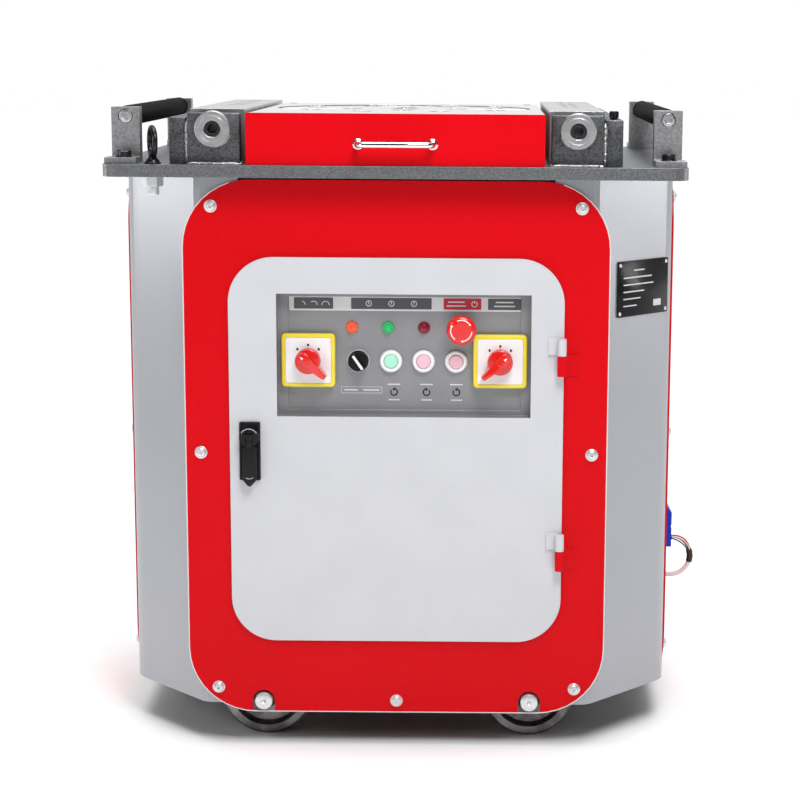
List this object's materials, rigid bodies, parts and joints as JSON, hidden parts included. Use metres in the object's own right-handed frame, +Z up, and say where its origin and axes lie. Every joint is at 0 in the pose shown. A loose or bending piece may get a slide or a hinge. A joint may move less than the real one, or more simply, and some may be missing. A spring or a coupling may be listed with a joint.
{
  "type": "rebar bender",
  "caption": "Wheeled cabinet rebar bending machine with a turntable and pin holes, sliding support bars, feed rollers, a pull-out scale tray and a hinged control door.",
  "frame": {"origin": "on the floor under the middle of the machine", "axes": "+Z up, -Y towards the front with the control door, +X to the right as seen from the front"},
  "size_m": [0.8075, 0.661, 0.8635],
  "materials": {
    "frame_paint": "satin",
    "table_steel": "rough",
    "red_paint": "gloss",
    "silver_paint": "satin",
    "door_paint": "satin",
    "panel_paint": "satin",
    "zinc": "bright",
    "dark_fastener": "oiled",
    "latch_black": "satin",
    "latch_steel": "satin",
    "lamp_lens": "gloss",
    "control_black": "satin",
    "bezel_white": "gloss",
    "knob_red": "gloss",
    "cap_green": "gloss",
    "cap_pink": "gloss",
    "switch_yellow": "gloss",
    "bright_steel": "ground",
    "chrome": "polished",
    "shaft_steel": "oiled",
    "gearbox_iron": "painted",
    "pulley_iron": "machined",
    "belt_rubber": "matte",
    "motor_paint": "satin",
    "bar_steel": "milled",
    "bracket_steel": "milled",
    "roller_black": "matte",
    "wheel_iron": "worn",
    "socket_blue": "gloss",
    "cable_sheath": "matte",
    "plate_black": "gloss",
    "switchgear_grey": "matte"
  },
  "bodies": {
    "machine": {"base_frame": "frame_paint", "table_plate": "table_steel", "front_panel": "red_paint", "rear_panel": "red_paint", "side_panels": "red_paint", "corner_covers": "silver_paint", "panel_bolts": "zinc", "hinge_brackets": "red_paint", "cover_frame": "red_paint", "cover_plate": "bright_steel", "gearbox_case": "gearbox_iron", "shaft_bearings": "shaft_steel", "drive_belts": "belt_rubber", "motor_body": "motor_paint", "screw_housings": "table_steel", "roller_brackets": "bracket_steel", "roller_axles": "zinc", "table_bolts": "dark_fastener", "lifting_eyes": "table_steel", "wheel_axles": "zinc", "side_socket": "socket_blue", "cable_plug": "socket_blue", "side_cable": "cable_sheath", "rating_plate": "plate_black", "switchgear": "switchgear_grey"},
    "door": {"door": "door_paint", "latch_case": "latch_black", "control_panel": "panel_paint", "indicator_lamps": "lamp_lens", "stop_button_base": "control_black", "control_bezels": "bezel_white", "switch_plates": "switch_yellow"},
    "latch_spindle": {"latch_spindle": "latch_steel"},
    "latch_handle": {"latch_handle": "latch_black"},
    "stop_button": {"stop_button_head": "knob_red"},
    "start_button": {"start_button": "cap_green"},
    "forward_button": {"forward_button": "cap_pink"},
    "reverse_button": {"reverse_button": "cap_pink"},
    "selector": {"selector_knob": "control_black"},
    "left_switch": {"left_switch_knob": "knob_red"},
    "right_switch": {"right_switch_knob": "knob_red"},
    "tray": {"scale_tray": "red_paint", "tray_handle": "chrome"},
    "turntable": {"turntable_disc": "bright_steel", "main_shaft": "shaft_steel", "bull_gear": "shaft_steel"},
    "countershaft": {"countershaft": "shaft_steel"},
    "input_shaft": {"input_shaft": "shaft_steel", "large_pulley": "pulley_iron"},
    "motor_rotor": {"motor_rotor": "pulley_iron"},
    "left_screw": {"left_screw": "shaft_steel"},
    "right_screw": {"right_screw": "shaft_steel"},
    "left_bar": {"left_support_bar": "bar_steel"},
    "right_bar": {"right_support_bar": "bar_steel"},
    "left_roller": {"left_roller": "roller_black"},
    "right_roller": {"right_roller": "roller_black"},
    "front_left_wheel": {"front_left_wheel": "wheel_iron"},
    "front_right_wheel": {"front_right_wheel": "wheel_iron"},
    "rear_left_wheel": {"rear_left_wheel": "wheel_iron"},
    "rear_right_wheel": {"rear_right_wheel": "wheel_iron"}
  },
  "joints": [
    {"name": "turntable_spin", "type": "hinge", "parent": "machine", "child": "turntable", "pos_m": [0, 0.012, 0.839], "axis": [0, 0, 1], "continuous": true},
    {"name": "countershaft_spin", "type": "hinge", "parent": "machine", "child": "countershaft", "pos_m": [0.11249, 0.14606, 0.71], "axis": [0, 0, 1], "continuous": true},
    {"name": "input_shaft_spin", "type": "hinge", "parent": "machine", "child": "input_shaft", "pos_m": [0.01401, 0.12869, 0.65], "axis": [0, 0, 1], "continuous": true},
    {"name": "motor_spin", "type": "hinge", "parent": "machine", "child": "motor_rotor", "pos_m": [-0.1, -0.022, 0.59], "axis": [0, 0, 1], "continuous": true},
    {"name": "left_screw_turn", "type": "hinge", "parent": "machine", "child": "left_screw", "pos_m": [-0.236, -0.2, 0.836], "axis": [0, 1, 0], "range_deg": [-1440, 2160]},
    {"name": "left_bar_slide", "type": "slide", "parent": "machine", "child": "left_bar", "axis": [0, 1, 0], "range_m": [-0.02, 0.03]},
    {"name": "right_screw_turn", "type": "hinge", "parent": "machine", "child": "right_screw", "pos_m": [0.236, -0.2, 0.836], "axis": [0, 1, 0], "range_deg": [-1440, 2160]},
    {"name": "right_bar_slide", "type": "slide", "parent": "machine", "child": "right_bar", "axis": [0, 1, 0], "range_m": [-0.02, 0.03]},
    {"name": "left_roller_spin", "type": "hinge", "parent": "machine", "child": "left_roller", "pos_m": [-0.3555, 0, 0.85], "axis": [0, 1, 0], "continuous": true},
    {"name": "right_roller_spin", "type": "hinge", "parent": "machine", "child": "right_roller", "pos_m": [0.3555, 0, 0.85], "axis": [0, 1, 0], "continuous": true},
    {"name": "tray_slide", "type": "slide", "parent": "machine", "child": "tray", "axis": [0, -1, 0], "range_m": [0, 0.25]},
    {"name": "door_hinge", "type": "hinge", "parent": "machine", "child": "door", "pos_m": [0.219, -0.286, 0.409], "axis": [0, 0, 1], "range_deg": [0, 120]},
    {"name": "latch_turn", "type": "hinge", "parent": "door", "child": "latch_spindle", "pos_m": [-0.195, -0.2803, 0.43], "axis": [0, 1, 0], "range_deg": [0, 90]},
    {"name": "latch_lift", "type": "hinge", "parent": "latch_spindle", "child": "latch_handle", "pos_m": [-0.195, -0.2863, 0.43], "axis": [-1, 0, 0], "range_deg": [0, 35]},
    {"name": "left_switch_turn", "type": "hinge", "parent": "door", "child": "left_switch", "pos_m": [-0.1177, -0.25, 0.5305], "axis": [0, 1, 0], "range_deg": [-90, 90]},
    {"name": "right_switch_turn", "type": "hinge", "parent": "door", "child": "right_switch", "pos_m": [0.1377, -0.25, 0.5305], "axis": [0, 1, 0], "range_deg": [-90, 90]},
    {"name": "selector_turn", "type": "hinge", "parent": "door", "child": "selector", "pos_m": [-0.0515, -0.25, 0.529], "axis": [0, 1, 0], "range_deg": [0, 90]},
    {"name": "start_press", "type": "slide", "parent": "door", "child": "start_button", "axis": [0, 1, 0], "range_m": [0, 0.004], "stiffness_N_per_m": 400, "springref_m": -0.002},
    {"name": "forward_press", "type": "slide", "parent": "door", "child": "forward_button", "axis": [0, 1, 0], "range_m": [0, 0.004], "stiffness_N_per_m": 400, "springref_m": -0.002},
    {"name": "reverse_press", "type": "slide", "parent": "door", "child": "reverse_button", "axis": [0, 1, 0], "range_m": [0, 0.004], "stiffness_N_per_m": 400, "springref_m": -0.002},
    {"name": "stop_press", "type": "slide", "parent": "door", "child": "stop_button", "axis": [0, 1, 0], "range_m": [0, 0.005]},
    {"name": "front_left_wheel_spin", "type": "hinge", "parent": "machine", "child": "front_left_wheel", "pos_m": [-0.181, -0.202, 0.0625], "axis": [0, 1, 0], "continuous": true},
    {"name": "front_right_wheel_spin", "type": "hinge", "parent": "machine", "child": "front_right_wheel", "pos_m": [0.181, -0.202, 0.0625], "axis": [0, 1, 0], "continuous": true},
    {"name": "rear_left_wheel_spin", "type": "hinge", "parent": "machine", "child": "rear_left_wheel", "pos_m": [-0.181, 0.226, 0.0625], "axis": [0, 1, 0], "continuous": true},
    {"name": "rear_right_wheel_spin", "type": "hinge", "parent": "machine", "child": "rear_right_wheel", "pos_m": [0.181, 0.226, 0.0625], "axis": [0, 1, 0], "continuous": true}
  ],
  "couplings": [
    {"joint": "countershaft_spin", "follows": "turntable_spin", "ratio": -4},
    {"joint": "input_shaft_spin", "follows": "turntable_spin", "ratio": 16},
    {"joint": "motor_spin", "follows": "turntable_spin", "ratio": 44.444},
    {"joint": "left_screw_turn", "follows": "left_bar_slide", "rad_per_m": 1256.6},
    {"joint": "right_screw_turn", "follows": "right_bar_slide", "rad_per_m": 1256.6}
  ]
}
